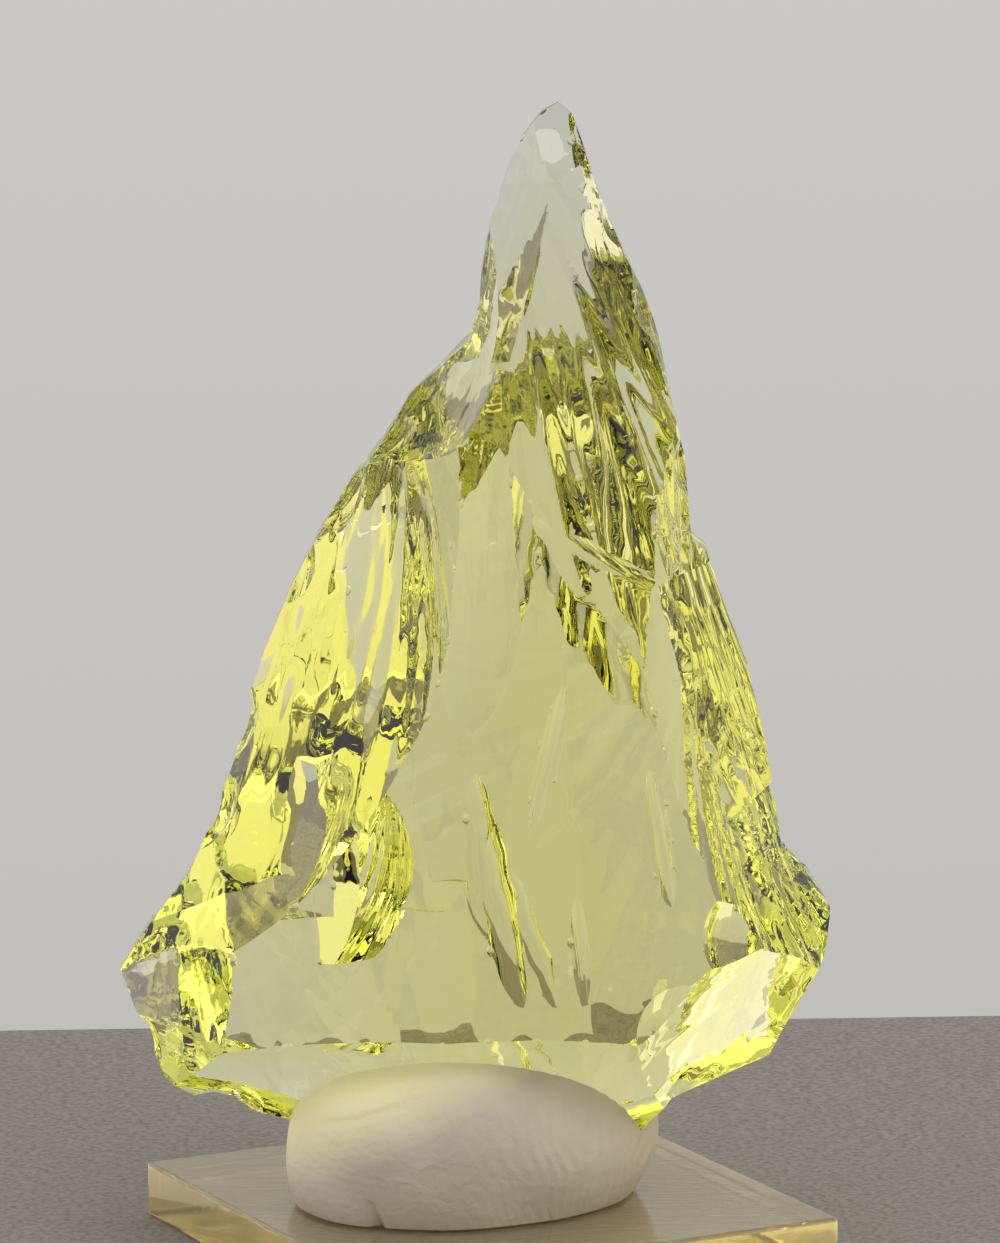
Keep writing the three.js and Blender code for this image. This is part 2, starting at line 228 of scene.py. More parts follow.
# The front outline, as x and z
OUTLINE = [
    (-36.0, 28.6), (-34.6, 25.3), (-31.5, 19.5), (-27.7, 16.7), (-19.9, 13.9), (-12, 9),
    (12, 9), (18.0, 16.6), (23.1, 18.2), (27.7, 19.8), (28.8, 22.2), (31.7, 27.9),
    (33.1, 30.6), (33.6, 34.2), (31.0, 38.2), (28.8, 40.4), (28.3, 44.2), (27.3, 50.3),
    (25.4, 58.2), (23.0, 64.4), (21.3, 69.9), (19.8, 71.1), (19.1, 79.3), (17.7, 85.3),
    (16.4, 91.6), (15.4, 94.4), (12.2, 101.2), (10.3, 106.0), (9.3, 109.2), (8.2, 112.2),
    (6.8, 113.3), (5.2, 112.5), (3.3, 110.1), (1.9, 106.6), (0.2, 101.5), (-0.6, 97.0),
    (-0.8, 93.6), (-1.6, 90.3), (-4.8, 87.1), (-7.6, 84.6), (-10.0, 80.6), (-13.4, 76.2),
    (-16.4, 71.2), (-19.4, 65.2), (-21.9, 59.3), (-23.4, 55.0), (-24.7, 49.3), (-27.2, 42.4),
    (-29.3, 38.2), (-31.8, 34.9), (-33.9, 32.0),
]

# The fracture faces, in the order that the solid takes them in
FACES = [
    Face("broad front",
         [(0.7, -12, 80), (-24.5, -14, 32.8), (14.5, -15, 23.8)],
         hollow=(1500, 1200), swell=0.1, struck=(26, -14, 64), hackle=0.04),
    Face("front flake",
         [(-1, -11.5, 76), (-3.5, -12.7, 57), (2, -12, 66)],
         hollow=(150, 10), swell=0.05, struck=(0, -12, 80), hackle=0.05,
         reach=(16, 8)),
    Face("left flank",
         [(-2.6, -12, 79), (-24.5, -14, 32.8), (-21.9, 3, 59.3)],
         hollow=(60, 140), swell=0.1, struck=(-6, -4, 90), hackle=0.18),
    Face("spire left",
         [(6.9, -1.5, 111.2), (5.7, -8, 94.5), (0.4, -1.4, 99)],
         hollow=(260, 300), swell=0.06, struck=(7, -2, 112), hackle=0.03,
         reach=(14, 30)),
    Face("shoulder",
         [(-1.5, 1, 90.6), (-9.5, 2.5, 82.5), (-0.5, -9.5, 85.5)],
         hollow=(16, 40), swell=0.1, struck=(-12, 0, 90), hackle=0.12),
    Face("spire right",
         [(6.9, -1.5, 111.2), (0.7, -12, 80.1), (11.4, -12.8, 64.5)],
         hollow=(300, 150), swell=0.25, struck=(2, -10, 116), hackle=0.35),
    Face("right edge",
         [(13.2, 1.5, 101.4), (19.9, 1, 80), (17, -4.4, 87)],
         hollow=(400, 40), swell=0.15, struck=(10, 0, 106), hackle=0.3),
    Face("scar",
         [(6.5, -11.4, 73.3), (22.6, -7.9, 65.2), (14.9, -9.35, 70)],
         hollow=(140, 1.6), swell=0, struck=(2, -12, 80), hackle=0,
         reach=(12, 4)),
    Face("olive facet",
         [(18.5, -2.5, 67), (22.8, -3.6, 54), (24.4, 2, 60.5)],
         hollow=(200, 220), swell=0.04, struck=(24, -4, 70), hackle=0.03,
         reach=(8, 7)),
    Face("right skirt",
         [(17.5, -12.8, 52), (24.5, -12, 36), (25.6, 0.5, 56)],
         hollow=(120, 100), swell=0.15, struck=(22, -8, 62), hackle=0.3),
    Face("right corner top",
         [(28.8, -1, 40.4), (33.5, -2, 34.6), (27.4, -10, 37.4)],
         hollow=(60, 60), swell=0.05, struck=(29, 0, 42), hackle=0.15,
         reach=(9, 12)),
    Face("right corner low",
         [(33.6, -2, 34.2), (30.8, -8.4, 29.6), (28, -12, 34.8)],
         hollow=(16, 24), swell=0.05, struck=(35, -2, 36), hackle=0.12),
    Face("low right",
         [(14.5, -15, 23.8), (26, -13, 33.3), (30.6, -4, 25.6)],
         hollow=(38, 30), swell=0.12, struck=(34, -2, 34), hackle=0.15),
    Face("low middle",
         [(-4.6, -15, 24.2), (14.5, -15, 23.8), (4, -5, 14)],
         hollow=(120, 70), swell=0.05, struck=(20, -8, 14), hackle=0.04),
    Face("low left",
         [(-25.3, -15, 23.3), (-4.6, -15, 24.2), (-19.9, -4.5, 13.9)],
         hollow=(120, 60), swell=0.05, struck=(-30, -8, 14), hackle=0.03),
    Face("left corner top",
         [(-29.3, -3.5, 38.2), (-24.5, -14, 32.8), (-35, -5, 27.6)],
         hollow=(200, 200), swell=0.04, struck=(-36, 0, 34), hackle=0.03),
    Face("left corner low",
         [(-35.2, -4, 27.2), (-24.5, -14.2, 32.2), (-25.3, -15, 23.3)],
         hollow=(40, 50), swell=0.05, struck=(-32, -6, 36), hackle=0.08),
    Face("tip front",
         [(3.6, -0.8, 109.8), (9, -0.4, 108.8), (6.9, 1.6, 113)],
         hollow=(14, 14), swell=0.04, struck=(7, 2, 115), hackle=0.1),
    Face("broad back",
         [(0, 18.5, 75), (-20, 12.6, 25), (22, 17.6, 25)],
         hollow=(1500, 1500), swell=0.1, struck=(6, 14, 90), hackle=0.04),
    Face("lower left back",
         [(-3, 15.7, 45), (-1, 14.8, 24), (-21, 6.7, 27)],
         hollow=(500, 500), swell=0.06, struck=(-8, 12, 56), hackle=0.05),
    Face("left back",
         [(-7, 14.3, 75), (-7, 12, 40), (-23.4, 2.6, 55)],
         hollow=(400, 400), swell=0.04, struck=(-12, 8, 90), hackle=0.05,
         reach=(24, 25)),
    Face("middle back",
         [(-6, 13.4, 75), (-6, 12.6, 40), (9, 19.6, 57)],
         hollow=(400, 400), swell=0.03, struck=(-6, 12, 92), hackle=0.03,
         reach=(22, 11)),
    Face("left back corner",
         [(-28.5, 3.5, 40), (-35.5, -1.6, 28.5), (-17, 8, 30)],
         hollow=(500, 500), swell=0.03, struck=(-30, 2, 44), hackle=0.03),
    Face("lower notch",
         [(-10, 9.5, 44), (-10, 9.5, 31), (-7, 12.8, 36)],
         hollow=(14, 16), swell=0.1, struck=(-8, 12, 52), hackle=0.15,
         reach=(9, 7)),
    Face("upper petal",
         [(-3.3, 15.4, 46), (-1.8, 15.2, 32), (1.2, 16.4, 38)],
         hollow=(40, 1.2), swell=0, struck=(-4, 13, 50), hackle=0,
         reach=(13, 3.4)),
    Face("middle petal",
         [(-2.4, 15.4, 40), (1.2, 15.6, 24), (3.2, 16.4, 33)],
         hollow=(45, 1.2), swell=0, struck=(-4, 13, 50), hackle=0,
         reach=(15, 3.4)),
    Face("lower petal",
         [(0.6, 16.4, 37), (5.4, 15.8, 23), (5.8, 16.9, 31)],
         hollow=(60, 1.2), swell=0, struck=(-4, 13, 50), hackle=0,
         reach=(14, 3.4)),
    Face("right back",
         [(4, 17.8, 73), (9, 18.7, 54), (19.5, 2.8, 82)],
         hollow=(300, 300), swell=0.2, struck=(10, 8, 100), hackle=0.35),
    Face("right back low",
         [(8, 18, 64), (9.5, 16.6, 38), (18, 12.9, 50)],
         hollow=(1200, 300), swell=0.08, struck=(24, 4, 70), hackle=0.1),
    Face("right side back",
         [(22, 11.2, 60), (23, 11, 40), (28.5, 2.5, 54)],
         hollow=(200, 200), swell=0.15, struck=(24, 4, 70), hackle=0.2,
         reach=(14, 10)),
    Face("right corner back",
         [(24, 11.5, 42), (34, 1.5, 33.6), (21, 14, 24)],
         hollow=(150, 150), swell=0.08, struck=(36, 2, 40), hackle=0.08),
    Face("spire right back",
         [(13, 2, 100), (6.5, 8, 100), (17, 4.5, 84)],
         hollow=(200, 200), swell=0.1, struck=(8, 4, 114), hackle=0.2),
    Face("shoulder back",
         [(-2, 7.5, 91), (-12, 5, 78), (-2, 14, 78)],
         hollow=(60, 60), swell=0.15, struck=(-4, 8, 94), hackle=0.2),
    Face("tip back",
         [(6.8, 3.1, 113.2), (4.5, 9.6, 86), (-2.5, 5.2, 98)],
         hollow=(123, 200), swell=0.03, struck=(7, 3, 115), hackle=0.03,
         reach=(14.6, 5)),
    Face("under left",
         [(-34, -1.5, 23.5), (-12, 9, 13), (-19, 11, 20)],
         hollow=(60, 60), swell=0.06, struck=(-20, 4, 8), hackle=0.05),
    Face("under back",
         [(-10, 12.5, 15.5), (16, 14, 15.5), (2, 2, 9.5)],
         hollow=(200, 200), swell=0.03, struck=(0, 10, 10), hackle=0.02),
    Face("under right",
         [(30, -1, 21), (19, 10, 20.5), (18, -4, 15.2)],
         hollow=(60, 60), swell=0.06, struck=(26, 2, 14), hackle=0.06),
]

FLAKES = [
    Flake((-9, 1, 82), ball=5, depth=0.9, facing=(-0.6, -0.6, 0.5)),
    Flake((-6, 0, 86), ball=4, depth=0.7, facing=(-0.6, -0.5, 0.6)),
    Flake((-13.5, 2, 76), ball=6, depth=0.8, facing=(-0.8, -0.5, 0.3)),
    Flake((-18, 2.5, 68), ball=7, depth=0.8, facing=(-0.9, -0.4, 0.2)),
    Flake((-23.5, 2, 54), ball=6, depth=0.7, facing=(-0.9, -0.4, 0.1)),
    Flake((-26, 0, 45), ball=5, depth=0.6, facing=(-0.8, -0.6, 0.2)),
    Flake((0.5, -2, 101), ball=4, depth=0.5, facing=(-0.8, -0.5, 0.1)),
    Flake((4.2, 0, 111), ball=3, depth=0.6, facing=(-0.6, -0.6, 0.5)),
    Flake((8.8, 0.5, 110.5), ball=2.5, depth=0.5, facing=(0.8, -0.4, 0.4)),
    Flake((11.5, 0, 102.5), ball=3.5, depth=0.5, facing=(0.9, -0.3, 0.2)),
    Flake((15.2, -1, 94), ball=4, depth=0.6, facing=(0.8, -0.5, 0.2)),
    Flake((19.2, -2, 79), ball=4, depth=0.6, facing=(0.8, -0.6, 0)),
    Flake((27.2, -2, 50), ball=4.5, depth=0.6, facing=(0.8, -0.6, 0)),
    Flake((32.8, -2, 36), ball=3.5, depth=0.6, facing=(0.6, -0.6, 0.5)),
    Flake((24, -12, 34), ball=5, depth=0.6, facing=(0.3, -0.9, 0.1)),
    Flake((18, -13.5, 27), ball=6, depth=0.6, facing=(0.2, -0.9, -0.4)),
    Flake((-33, -3, 22), ball=4, depth=0.6, facing=(-0.6, -0.6, -0.5)),
    Flake((-24.5, -6, 16), ball=5, depth=0.7, facing=(-0.2, -0.7, -0.7)),
    Flake((6.6, -13, 54), ball=7, depth=0.45, facing=(0.2, -1, 0)),
    Flake((-3.5, -13.4, 58), ball=4, depth=0.6, facing=(-0.4, -0.9, 0)),
]

# Thin feather-shaped marks on the broad front, too shallow for the solid
FEATHERS = [
    Face("upper feather",
         [(-1.5, -12.7, 64), (-2.6, -13.2, 54), (-0.9, -12.9, 59)],
         hollow=(40, 0.7), swell=0, struck=(0, -13, 70), hackle=0, reach=(6, 1.4)),
    Face("middle feather",
         [(7.8, -13, 59), (4.6, -13.5, 45), (5.2, -13.2, 54)],
         hollow=(30, 0.7), swell=0, struck=(8, -13, 66), hackle=0, reach=(8, 1.4)),
    Face("low feather",
         [(8.2, -14.3, 40), (9.2, -14.9, 27), (10, -14.6, 34)],
         hollow=(25, 0.7), swell=0, struck=(8, -13, 66), hackle=0, reach=(7, 1.4)),
    Face("edge feather",
         [(15.6, -13.4, 50), (17.4, -14, 38), (17.6, -13.7, 45)],
         hollow=(25, 0.8), swell=0, struck=(8, -13, 66), hackle=0, reach=(7, 1.6)),
]


def unevenness(x, y, phase):
    """A smooth wave between -1 and 1 that doesn't repeat over the size of the crystal."""
    waves = (
        np.sin(1.7 * x + 2.3 * y + phase)
        + np.sin(2.9 * x - 1.1 * y + 2.1 * phase)
        + np.sin(-0.8 * x + 3.7 * y + 1.3 * phase)
        + np.sin(4.1 * x + 0.9 * y + 0.7 * phase)
    )
    return waves / 4


def axes_of(face):
    """The face's middle, and its axes along its first two points, across them and outwards."""
    a, b, c = face.through
    middle = (a + b + c) / 3
    along = (b - a) / np.linalg.norm(b - a)
    out = np.cross(along, c - a)
    out /= np.linalg.norm(out)
    if out @ (middle - HEART) < 0:
        out = -out
    return middle, along, np.cross(out, along), out


def height_of(face, axes, phase, fine):
    """The face's height above the plane of its three points, as a function of a place on it."""
    middle, along, across, _ = axes

    def flatten(point):
        return np.array(((point - middle) @ along, (point - middle) @ across))

    def dish(u, v):
        return u**2 / (2 * face.hollow[0]) + v**2 / (2 * face.hollow[1])

    a, b, c = (flatten(point) for point in face.through)
    slope_u = (dish(*b) - dish(*a)) / (b[0] - a[0])
    slope_v = (dish(*c) - dish(*a) - slope_u * (c[0] - a[0])) / (c[1] - a[1])
    struck = flatten(face.struck)

    def height(u, v):
        bowl = dish(u, v) - dish(*a) - slope_u * (u - a[0]) - slope_v * (v - a[1])
        away = np.hypot(u - struck[0], v - struck[1])
        turn = np.arctan2(v - struck[1], u - struck[0])
        fade = np.minimum(1, away / RIDGE_START)
        ridges = unevenness(RIDGES_PER_RADIAN * turn, away / RIDGE_WANDER, phase) * fade
        swell = unevenness(u / SWELL_LENGTH, v / SWELL_LENGTH, phase)
        h = bowl + face.swell * swell + face.hackle * ridges
        if fine:
            h = h + fine_marks(face, u, v, away, turn, phase)
        return np.minimum(h, FACE_REACH)

    return height


def fine_marks(face, u, v, away, turn, phase):
    """The marks that are too fine for the solid: narrow hackle, ripples round the blow, a faint grain."""
    wander = unevenness(u / WANDER_LENGTH, v / WANDER_LENGTH, phase + 2)
    streaks = unevenness(STREAKS_PER_RADIAN * turn + STREAK_BEND * wander, away / STREAK_LENGTH, phase + 4)
    hairs = unevenness(HAIRS_PER_RADIAN * turn + HAIR_BEND * wander, away / HAIR_LENGTH, phase + 7)
    patches = np.clip(unevenness(u / PATCH_LENGTH, v / PATCH_LENGTH, phase + 9) * 2 + 0.6, 0, 1)
    narrow = face.hackle * patches * (STREAK_SHARE * streaks + HAIR_SHARE * hairs)
    ripples = RIPPLE_HEIGHT * np.sin(RIPPLES_PER_MM * away + 2 * wander) * np.exp(-away / RIPPLE_FADE)
    grain = GRAIN_HEIGHT * unevenness(u / GRAIN_LENGTH, v / GRAIN_LENGTH, phase + 5)
    return narrow + ripples + grain


def new_object(name, verts, faces):
    """A mesh object of these corners and faces, at the origin."""
    mesh = bpy.data.meshes.new(name)
    mesh.from_pydata([tuple(v) for v in verts], [], [tuple(f) for f in faces])
    obj = bpy.data.objects.new(name, mesh)
    bpy.context.scene.collection.objects.link(obj)
    return obj


def ball(name, middle, radius, steps, stretch):
    """A ball whose place and stretch are in its mesh."""
    bpy.ops.mesh.primitive_ico_sphere_add(subdivisions=steps, radius=radius, location=middle)
    obj = bpy.context.object
    obj.name = name
    obj.data.transform(Matrix.Translation(middle) @ Matrix.Diagonal((*stretch, 1)))
    obj.matrix_world = Matrix.Identity(4)
    return obj


def points_of(obj):
    """The mesh's corners as an array."""
    flat = np.empty(3 * len(obj.data.vertices), np.float32)
    obj.data.vertices.foreach_get("co", flat)
    return flat.reshape(-1, 3).astype(float)


def cut(obj, tool):
    """Takes the tool's solid away from the object's own, and drops the tool."""
    modifier = obj.modifiers.new("cut", "BOOLEAN")
    modifier.operation = "DIFFERENCE"
    modifier.solver = "MANIFOLD"
    modifier.object = tool
    evaluated = obj.evaluated_get(bpy.context.evaluated_depsgraph_get())
    result = bpy.data.meshes.new_from_object(evaluated)
    obj.modifiers.remove(modifier)
    old, obj.data = obj.data, result
    bpy.data.meshes.remove(old)
    used = tool.data
    bpy.data.objects.remove(tool)
    bpy.data.meshes.remove(used)


def outside_of(face, index, solid, ease=0.0):
    """Everything further than the ease outside one fracture face, over the solid's own width."""
    axes = axes_of(face)
    middle, along, across, out = axes
    if face.reach:
        low, high = -np.array(face.reach), np.array(face.reach)
    else:
        spread = (points_of(solid) - middle) @ np.stack((along, across)).T
        low, high = spread.min(axis=0) - 1, spread.max(axis=0) + 1
    counts = [max(FEWEST_CELLS, round((h - l) / CELL)) + 1 for l, h in zip(low, high)]
    u, v = np.meshgrid(
        np.linspace(low[0], high[0], counts[0]),
        np.linspace(low[1], high[1], counts[1]),
        indexing="ij",
    )
    h = height_of(face, axes, index + 1, fine=ease == 0)(u, v) + ease
    grid = middle + u[..., None] * along + v[..., None] * across + h[..., None] * out
    apex = middle + (low + high)[0] / 2 * along + (low + high)[1] / 2 * across + APEX * out
    number = np.arange(u.size).reshape(u.shape)
    quads = np.stack(
        (number[:-1, :-1], number[:-1, 1:], number[1:, 1:], number[1:, :-1]), axis=-1
    ).reshape(-1, 4)
    rim = np.concatenate(
        (number[:-1, 0], number[-1, :-1], number[:0:-1, -1], number[0, :0:-1])
    )
    sides = [(a, b, u.size) for a, b in zip(rim, np.roll(rim, -1))]
    verts = np.vstack((grid.reshape(-1, 3), apex))
    return new_object(face.name, verts, list(map(tuple, quads)) + sides)


def rough_block():
    """The outline carried straight back through the crystal's whole depth, in millimetres."""
    n = len(OUTLINE)
    half = ROUGH_DEPTH / 2
    verts = [(x, y, z) for y in (-half, half) for x, z in OUTLINE]
    sides = [(i, i + n, (i + 1) % n + n, (i + 1) % n) for i in range(n)]
    ends = [tuple(range(n)), tuple(range(2 * n - 1, n - 1, -1))]
    return new_object("crystal_glass", verts, [*ends, *sides])


def all_below(height):
    """A wide block that fills everything below that height."""
    corners = [(x, y, z) for z in (-FACE_REACH, height) for x, y in WIDE_SQUARE]
    sides = [(i, (i + 1) % 4, (i + 1) % 4 + 4, i + 4) for i in range(4)]
    return new_object("below", corners, [(3, 2, 1, 0), (4, 5, 6, 7), *sides])


def small_chips(solid):
    """Small chips along the crystal's sharp edges, as balls that keep clear of each other."""
    draw = np.random.default_rng(CHIP_SEED)
    shape = bmesh.new()
    shape.from_mesh(solid.data)
    sharp = [
        edge for edge in shape.edges
        if edge.is_convex
        and edge.calc_face_angle(0) > CHIPPED_ANGLE
        and edge.calc_length() > CHIPPED_LENGTH
    ]
    lengths = np.array([edge.calc_length() for edge in sharp])
    spots = []
    balls = bmesh.new()
    for number in draw.choice(len(sharp), CHIP_TRIES, p=lengths / lengths.sum()):
        edge = sharp[number]
        middle = (edge.verts[0].co + edge.verts[1].co) / 2
        if middle.z < CHIPS_ABOVE or any((middle - other).length < CHIP_SPACING for other in spots):
            continue
        spots.append(middle)
        out = (edge.link_faces[0].normal + edge.link_faces[1].normal).normalized()
        radius = draw.uniform(*CHIP_RADII)
        depth = radius * draw.uniform(*CHIP_DEPTHS)
        place = Matrix.Translation(middle + (radius - depth) * out)
        bmesh.ops.create_icosphere(balls, subdivisions=CHIP_DETAIL, radius=radius, matrix=place)
    chips = new_object("chips", [], [])
    balls.to_mesh(chips.data)
    balls.free()
    shape.free()
    return chips


def finish_solid(solid, material):
    """Brings a solid to metres, shades it smooth up to its sharp edges, and gives it its material."""
    solid.data.transform(Matrix.Scale(MM, 4))
    solid.data.shade_smooth()
    solid.data.set_sharp_from_angle(angle=SHARP_ANGLE)
    solid.data.materials.clear()
    solid.data.materials.append(material)


def crystal():
    """The crystal at its full fineness: the solid's own faces and flakes, with their fine marks."""
    solid = rough_block()
    for index, face in enumerate(FACES):
        cut(solid, outside_of(face, index, solid))
    for face in FEATHERS:
        cut(solid, outside_of(face, 0, solid))
    for number, flake in enumerate(FLAKES):
        cut(solid, ball(f"flake {number}", flake.middle, flake.ball, FLAKE_DETAIL, FLAKE_STRETCH))
    cut(solid, small_chips(solid))
    finish_solid(solid, clear_glass("crystal glass", CRYSTAL_IOR, CRYSTAL_DENSITY, CRYSTAL_TINT))
    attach(solid, "root")
    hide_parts("crystal")


def crystal_foot():
    """The space that the crystal's foot takes up in the putty, with the gap round it."""
    solid = rough_block()
    for index, face in enumerate(FACES):
        if face.name in FOOT_FACES:
            cut(solid, outside_of(face, index, solid, ease=GAP))
    return solid


def kneaded(x, y, z):
    """How far the putty's surface is pushed in or out there, as a share of its size."""
    lumps = PUTTY_UNEVENNESS * unevenness(x + 2 * z, y - z, 3)
    dents = DENTS * unevenness(3.1 * x + z, 2.7 * y - 2 * z, 5)
    skin = SKIN * unevenness(31 * x + 9 * z, 33 * z - 9 * x, 7)
    front = np.clip(-2 * y, 0, 1)
    left = np.clip(-3 * x - 0.9, 0, 1)
    low = np.clip(-3 * z - 0.3, 0, 1)
    right = np.clip(1.5 * x + 0.9, 0, 1)
    above_fold = (z - FOLD_SLOPE * x - FOLD_HEIGHT) / FOLD_WIDTH
    fold = -FOLD_DEPTH * np.exp(-(above_fold**2)) * left
    past_crease = (x - CREASE_PLACE - CREASE_LEAN * z) / CREASE_WIDTH
    crease = -CREASE_DEPTH * np.exp(-(past_crease**2)) * low
    bearing = np.arctan2(z - FINGER_CENTRE[1], x - FINGER_CENTRE[0])
    ridges = np.sin(FINGER_RIDGES * bearing + 5 * unevenness(4 * x, 4 * z, 2))
    fingers = FINGER_DEPTH * ridges * right
    return 1 + lumps + dents + skin + front * (fold + crease + fingers)


def putty():
    """The lump, squeezed a little square, flat underneath, with the crystal's foot pressed in."""
    lump = ball("putty_kneaded", (0, 0, 0), 1, PUTTY_DETAIL, (1, 1, 1))
    places = points_of(lump)
    size = (np.abs(places) ** PUTTY_SQUARENESS).sum(axis=1) ** (-1 / PUTTY_SQUARENESS)
    places *= (size * kneaded(*places.T))[:, None]
    places *= PUTTY_SIZE / 2
    lump.data.vertices.foreach_set("co", places.astype(np.float32).ravel())
    turned = Matrix.Rotation(PUTTY_TURN, 4, "Z") @ Matrix.Rotation(-PUTTY_TILT, 4, "Y")
    lump.data.transform(Matrix.Translation(PUTTY_MIDDLE) @ turned)
    cut(lump, all_below(BLOCK_THICKNESS + GAP))
    cut(lump, crystal_foot())
    finish_solid(lump, putty_white())
    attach(lump, "root")
    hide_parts("putty")


def acrylic_block():
    """The square block with its narrow polished bevels."""
    bpy.ops.mesh.primitive_cube_add(size=1)
    obj = bpy.context.object
    obj.name = "acrylic_base_polished"
    place = Matrix.Rotation(BLOCK_TURN, 4, "Z") @ Matrix.Translation((0, 0, BLOCK_THICKNESS / 2 * MM))
    obj.data.transform(place @ Matrix.Diagonal((BLOCK_SIDE * MM, BLOCK_SIDE * MM, BLOCK_THICKNESS * MM, 1)))
    bevel = obj.modifiers.new("polished bevel", "BEVEL")
    bevel.width = BLOCK_BEVEL * MM
    bevel.segments = BLOCK_BEVEL_STEPS
    acrylic = clear_glass(
        "acrylic", ACRYLIC_IOR, ACRYLIC_DENSITY, ACRYLIC_TINT, ACRYLIC_HAZE, ACRYLIC_CLEARNESS
    )
    obj.data.materials.append(scratched(acrylic))
    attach(obj, "root")
    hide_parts("acrylic_base")


def new_material(name):
    """A material with its nodes and links."""
    material = bpy.data.materials.new(name)
    material.use_nodes = True
    return material, material.node_tree.nodes, material.node_tree.links


def node_with(nodes, kind, **values):
    """A new node with these values on its sockets; a socket's spaces are underscores here."""
    node = nodes.new(kind)
    for socket, value in values.items():
        node.inputs[socket.replace("_", " ")].default_value = value
    return node


def colour_mix(nodes, links, first, second, share):
    """A colour that goes from the first, a colour or a socket, to the second as the share rises."""
    mix = nodes.new("ShaderNodeMix")
    mix.data_type = "RGBA"
    if isinstance(first, tuple):
        mix.inputs["A"].default_value = (*first, 1)
    else:
        links.new(first, mix.inputs["A"])
    mix.inputs["B"].default_value = (*second, 1)
    links.new(share, mix.inputs["Factor"])
    return mix.outputs["Result"]


def bumps(nodes, links, height, strength, distance):
    """Lets a height stand out on the material's shader."""
    bump = node_with(nodes, "ShaderNodeBump", Strength=strength, Distance=distance)
    links.new(height, bump.inputs["Height"])
    links.new(bump.outputs["Normal"], nodes["Principled BSDF"].inputs["Normal"])


def clear_glass(name, ior, density, tint, surface=(1, 1, 1), clearness=1):
    """See-through by plain transmission and IOR, coloured by absorption, with a share of haze."""
    material, nodes, links = new_material(name)
    shader = nodes["Principled BSDF"]
    shader.inputs["Base Color"].default_value = (*surface, 1)
    shader.inputs["Roughness"].default_value = 0
    shader.inputs["IOR"].default_value = ior
    shader.inputs["Transmission Weight"].default_value = clearness
    body = node_with(nodes, "ShaderNodeVolumeAbsorption", Density=density, Color=(*tint, 1))
    links.new(body.outputs["Volume"], nodes["Material Output"].inputs["Volume"])
    return material


def scratched(material):
    """Faint fine scratches over a polished surface, drawn out along one way."""
    nodes, links = material.node_tree.nodes, material.node_tree.links
    place = nodes.new("ShaderNodeTexCoord")
    turned = node_with(nodes, "ShaderNodeMapping", Scale=(1, 4, 1), Rotation=(0, 0, 0.6))
    links.new(place.outputs["Object"], turned.inputs["Vector"])
    lines = node_with(nodes, "ShaderNodeTexNoise", Scale=120, Detail=4, Distortion=2.5)
    links.new(turned.outputs["Vector"], lines.inputs["Vector"])
    bumps(nodes, links, lines.outputs["Fac"], strength=0.2, distance=0.0002)
    return material


def share_out_of_lump(nodes, links, place):
    """How far out of the lump's middle a place is, as a share of the lump's half size."""
    share = nodes.new("ShaderNodeMapping")
    share.vector_type = "TEXTURE"
    share.inputs["Location"].default_value = PUTTY_MIDDLE * MM
    share.inputs["Rotation"].default_value = (0, 0, PUTTY_TURN)
    share.inputs["Scale"].default_value = PUTTY_SIZE / 2 * MM
    links.new(place, share.inputs["Vector"])
    distance = nodes.new("ShaderNodeVectorMath")
    distance.operation = "LENGTH"
    links.new(share.outputs["Vector"], distance.inputs[0])
    return distance.outputs["Value"]


def putty_white():
    """Off-white kneaded putty, faintly mottled, with painted yellow light towards the crystal and painted
    light under its foot.
    """
    material, nodes, links = new_material("putty")
    shader = nodes["Principled BSDF"]
    shader.inputs["Roughness"].default_value = 0.6
    shader.inputs["Subsurface Weight"].default_value = 0.2
    shader.inputs["Subsurface Radius"].default_value = (0.003, 0.002, 0.0012)
    place = nodes.new("ShaderNodeTexCoord").outputs["Object"]
    mottle = node_with(nodes, "ShaderNodeTexNoise", Scale=160, Detail=4)
    links.new(place, mottle.inputs["Vector"])
    white = colour_mix(nodes, links, PUTTY_DULL, PUTTY_COLOUR, mottle.outputs["Fac"])
    # Painted light: the yellow light that the crystal casts on the putty, painted into its colour towards
    # the crystal
    along_painted_light = nodes.new("ShaderNodeVectorMath")
    along_painted_light.operation = "DOT_PRODUCT"
    along_painted_light.inputs[1].default_value = PUTTY_LIT_FROM
    links.new(place, along_painted_light.inputs[0])
    painted_light_share = node_with(
        nodes, "ShaderNodeMapRange", From_Min=PUTTY_PAINTED_LIGHT_BEGINS, From_Max=PUTTY_PAINTED_LIGHT_FULL
    )
    links.new(along_painted_light.outputs["Value"], painted_light_share.inputs["Value"])
    with_painted_light = colour_mix(nodes, links, white, PUTTY_PAINTED_CRYSTAL_LIGHT, painted_light_share.outputs["Result"])
    # Painted light: the putty in the foot's hollow is painted much lighter, standing in for light through
    # the crystal
    seat = node_with(nodes, "ShaderNodeMapRange", From_Min=SEAT_BEGINS, From_Max=SEAT_IS_FULL)
    links.new(share_out_of_lump(nodes, links, place), seat.inputs["Value"])
    colour = colour_mix(nodes, links, with_painted_light, PUTTY_PAINTED_SEAT_LIGHT, seat.outputs["Result"])
    links.new(colour, shader.inputs["Base Color"])
    marks = node_with(nodes, "ShaderNodeTexNoise", Scale=520, Detail=6, Distortion=0.7)
    links.new(place, marks.inputs["Vector"])
    bumps(nodes, links, marks.outputs["Fac"], strength=0.4, distance=0.0006)
    return material


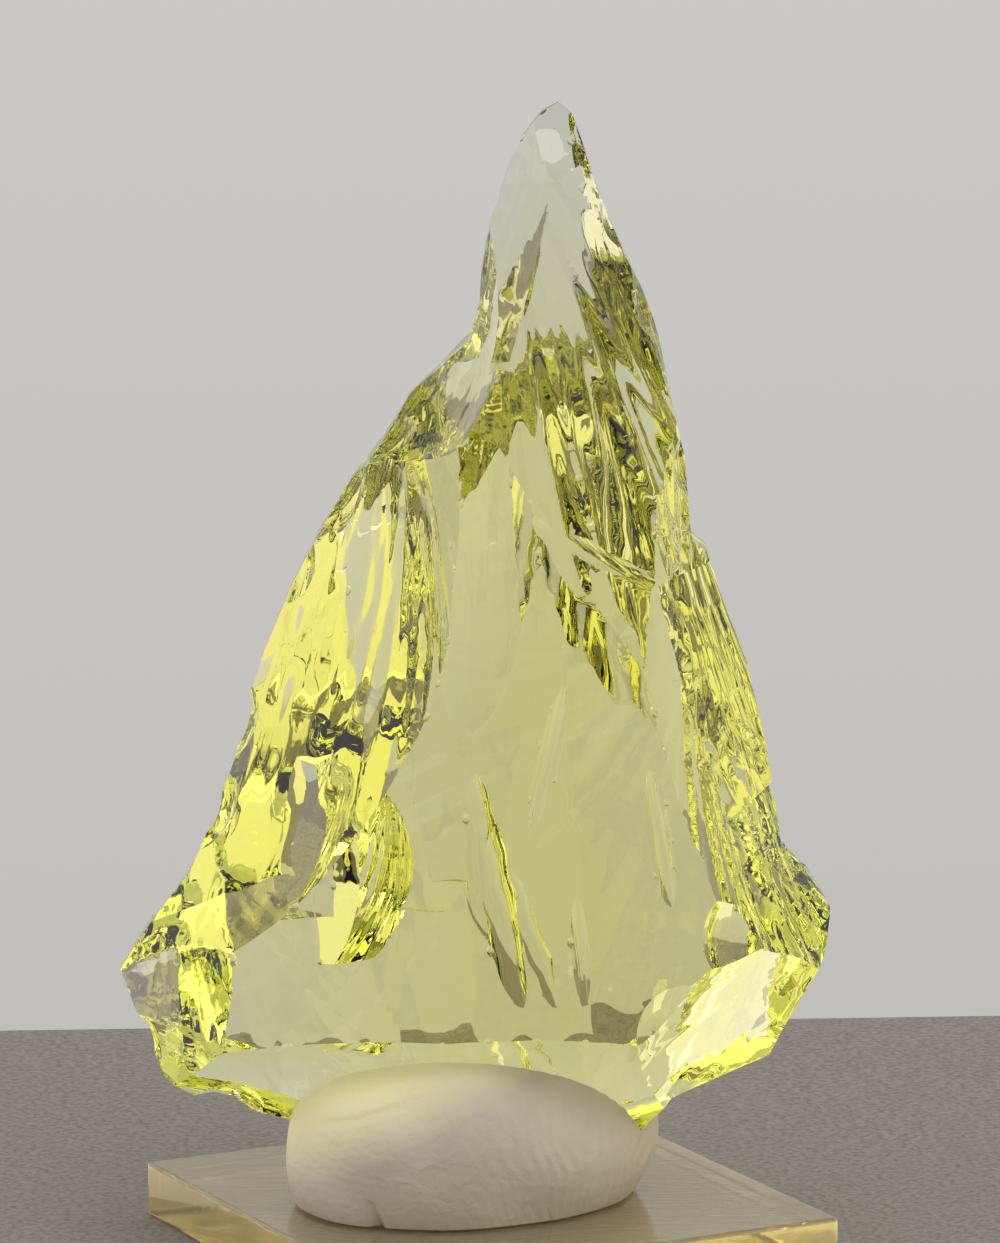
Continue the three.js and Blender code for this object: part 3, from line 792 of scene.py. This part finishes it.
def woven_cloth():
    """A plain dull cloth: dark threads show through a lighter grain."""
    material, nodes, links = new_material("table")
    nodes["Principled BSDF"].inputs["Roughness"].default_value = 0.8
    place = nodes.new("ShaderNodeTexCoord")
    grain = node_with(nodes, "ShaderNodeTexNoise", Scale=1500, Detail=3)
    links.new(place.outputs["Object"], grain.inputs["Vector"])
    threads = node_with(nodes, "ShaderNodeMapRange", From_Min=0.35, From_Max=0.6)
    links.new(grain.outputs["Fac"], threads.inputs["Value"])
    colour = colour_mix(nodes, links, FLOOR_THREADS, FLOOR_COLOUR, threads.outputs["Result"])
    links.new(colour, nodes["Principled BSDF"].inputs["Base Color"])
    return material


def floor():
    """A plain table top with a straight far edge."""
    corners = [
        (-FLOOR_HALF_WIDTH, FLOOR_NEAR, FLOOR_Z), (FLOOR_HALF_WIDTH, FLOOR_NEAR, FLOOR_Z),
        (FLOOR_HALF_WIDTH, FLOOR_FAR, FLOOR_Z), (-FLOOR_HALF_WIDTH, FLOOR_FAR, FLOOR_Z),
    ]
    obj = new_object("floor", corners, [(0, 1, 2, 3)])
    obj.rotation_euler.z = FLOOR_TURN
    obj.data.materials.append(woven_cloth())


def soft_light(name, place, aim, size, radiance):
    """A plain soft area of even brightness, which the camera itself doesn't see."""
    light = bpy.data.lights.new(name, "AREA")
    light.shape = "RECTANGLE"
    light.size, light.size_y = size
    brightest = max(radiance)
    light.color = [part / brightest for part in radiance]
    light.energy = WATTS_PER_RADIANCE * brightest * size[0] * size[1]
    obj = bpy.data.objects.new(name, light)
    obj.location = place
    obj.rotation_euler = (Vector(aim) - Vector(place)).to_track_quat("-Z", "Y").to_euler()
    obj.visible_camera = False
    bpy.context.scene.collection.objects.link(obj)


def world():
    """The room: its brightness changes with height only, from the floor round to straight up."""
    room = bpy.data.worlds.new("room")
    bpy.context.scene.world = room
    room.use_nodes = True
    nodes, links = room.node_tree.nodes, room.node_tree.links
    place = nodes.new("ShaderNodeTexCoord")
    parts = nodes.new("ShaderNodeSeparateXYZ")
    links.new(place.outputs["Generated"], parts.inputs["Vector"])
    half = node_with(nodes, "ShaderNodeMapRange", From_Min=-1)
    links.new(parts.outputs["Z"], half.inputs["Value"])
    ramp = nodes.new("ShaderNodeValToRGB")
    links.new(half.outputs["Result"], ramp.inputs["Fac"])
    stops = ramp.color_ramp.elements
    while len(stops) < len(ROOM):
        stops.new(0.5)
    for stop, (sine_of_height, colour) in zip(stops, ROOM):
        stop.position = (sine_of_height + 1) / 2
        stop.color = (*colour, 1)
    links.new(ramp.outputs["Color"], nodes["Background"].inputs["Color"])


def camera():
    """A camera where the photograph was taken from."""
    data = bpy.data.cameras.new("camera")
    data.lens = LENS
    data.sensor_width = SENSOR
    obj = bpy.data.objects.new("camera", data)
    obj.location = EYE
    obj.rotation_euler = (LOOKS_AT - EYE).to_track_quat("-Z", "Y").to_euler()
    bpy.context.scene.collection.objects.link(obj)
    bpy.context.scene.camera = obj


crystal()
acrylic_block()
putty()
floor()
world()
for light in LIGHTS:
    soft_light(*light)
camera()
bpy.context.scene.view_settings.view_transform = "Standard"
